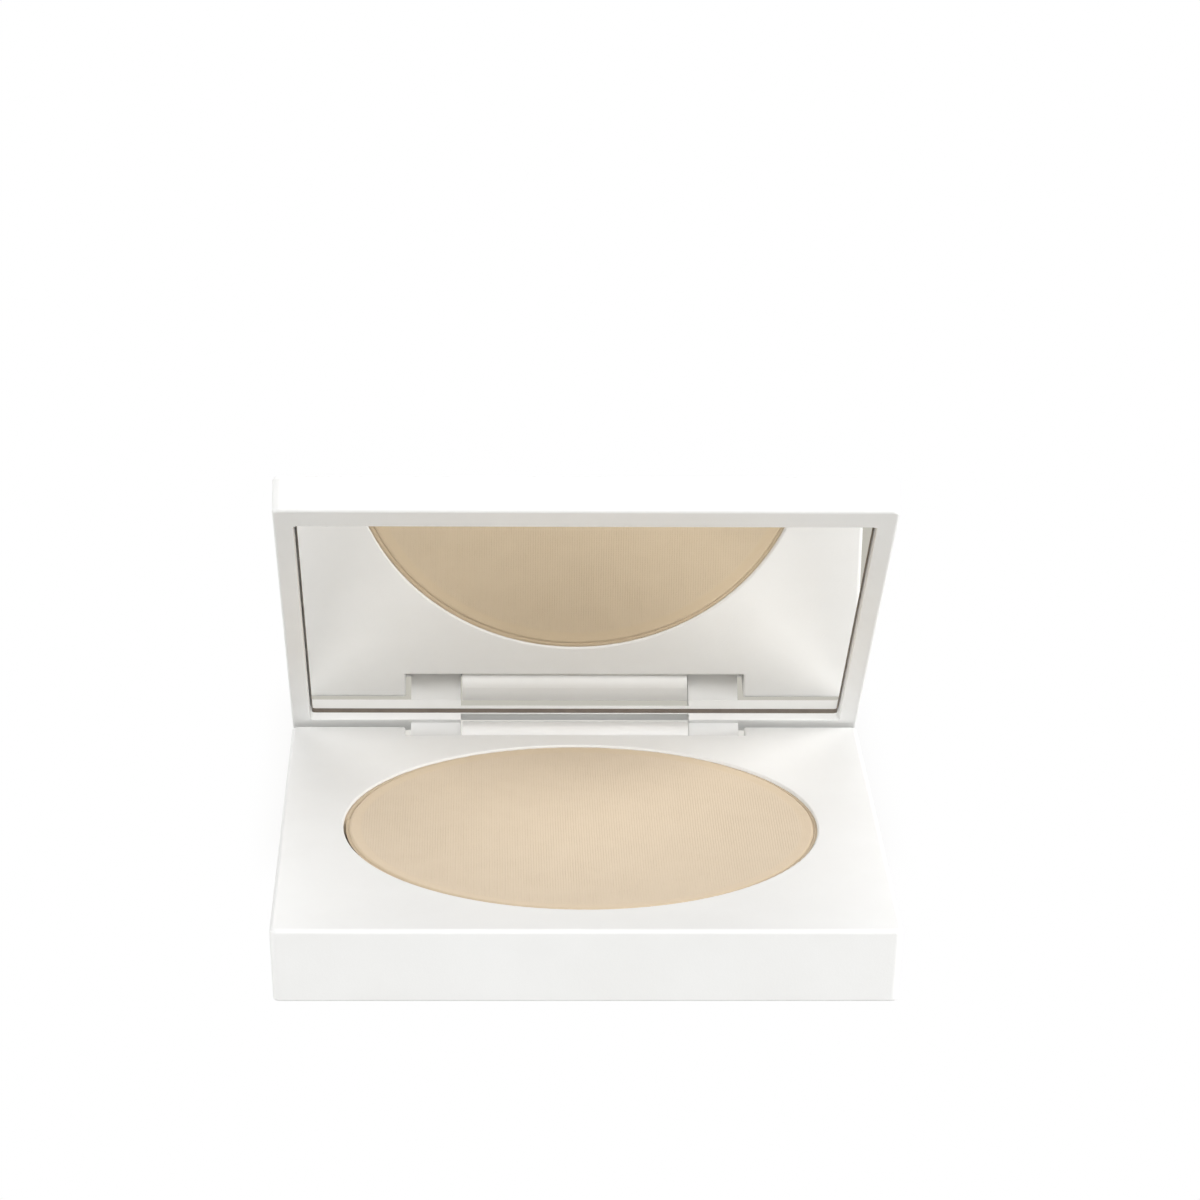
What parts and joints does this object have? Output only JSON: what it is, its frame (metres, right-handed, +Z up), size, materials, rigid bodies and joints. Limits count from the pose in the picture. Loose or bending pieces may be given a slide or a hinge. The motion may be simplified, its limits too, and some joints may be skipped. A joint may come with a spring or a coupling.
{
  "type": "powder compact",
  "caption": "Square slim powder compact with a round pan of pressed powder in the base and a hinged lid that holds a mirror.",
  "frame": {"origin": "centre of the base's underside, on the surface it rests on", "axes": "+X to the right seen from the front, +Y from the front towards the hinge, +Z up"},
  "size_m": [0.075, 0.0797, 0.0582],
  "materials": {
    "white_moulding": "satin white ABS, fine even surface",
    "pan_aluminium": "pressed, bare",
    "powder": "pressed matte beige powder with a faint cloth weave",
    "steel": "drawn wire",
    "magnet_nickel": "nickel plated",
    "mirror": "polished, ground edge",
    "tape": "adhesive foam"
  },
  "bodies": {
    "base": {"base_body": "white_moulding", "base_bottom": "white_moulding", "pan_tape": "tape", "powder_pan": "pan_aluminium", "powder_cake": "powder", "hinge_pin_left": "steel", "hinge_pin_right": "steel", "base_magnet_left": "magnet_nickel", "base_magnet_right": "magnet_nickel"},
    "lid": {"lid_shell": "white_moulding", "mirror_glass": "mirror", "mirror_tape": "tape", "lid_magnet_left": "magnet_nickel", "lid_magnet_right": "magnet_nickel"}
  },
  "joints": [
    {"name": "lid_hinge", "type": "hinge", "parent": "base", "child": "lid", "pos_m": [0, 0.0359, 0.0044], "axis": [-1, 0, 0], "range_deg": [-39.7, 70.3]}
  ]
}
